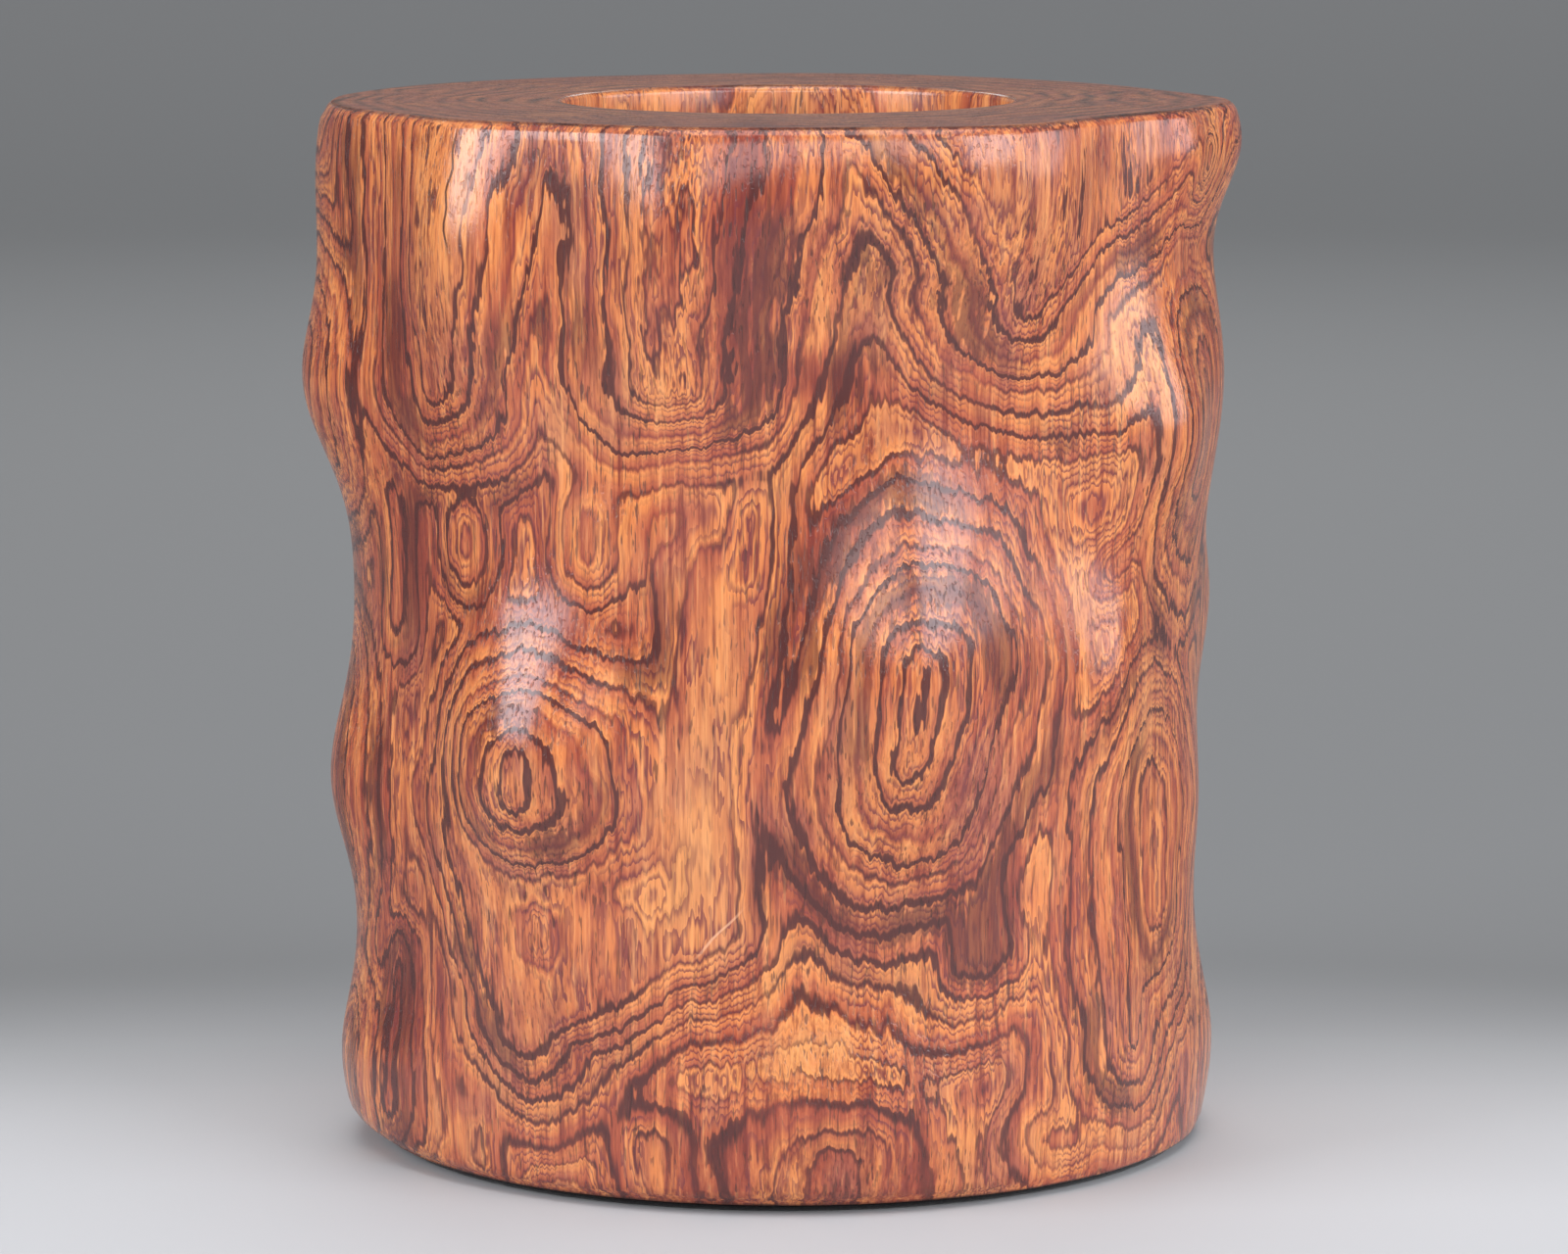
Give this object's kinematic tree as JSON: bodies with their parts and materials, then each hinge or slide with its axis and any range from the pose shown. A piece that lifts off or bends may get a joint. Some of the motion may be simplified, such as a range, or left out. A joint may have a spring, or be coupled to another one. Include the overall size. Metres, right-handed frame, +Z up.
{
  "type": "dip pen holder",
  "caption": "Hollowed hardwood pot with natural knobs on its wall and a deep round well that holds dip pens and brushes upright.",
  "frame": {"origin": "on the pen well's axis, on the surface that the pot stands on", "axes": "+Z points up out of the pen well, +X is to the right, and -Y is the front, with the fullest figure in the grain"},
  "size_m": [0.1432, 0.1389, 0.16],
  "materials": {
    "rosewood": "waxed, semi-gloss",
    "plug_wood": "waxed, satin",
    "felt": "pressed felt"
  },
  "bodies": {
    "root": {"pot_body": "rosewood", "base_plug": "plug_wood", "felt_ring": "felt"}
  },
  "joints": []
}
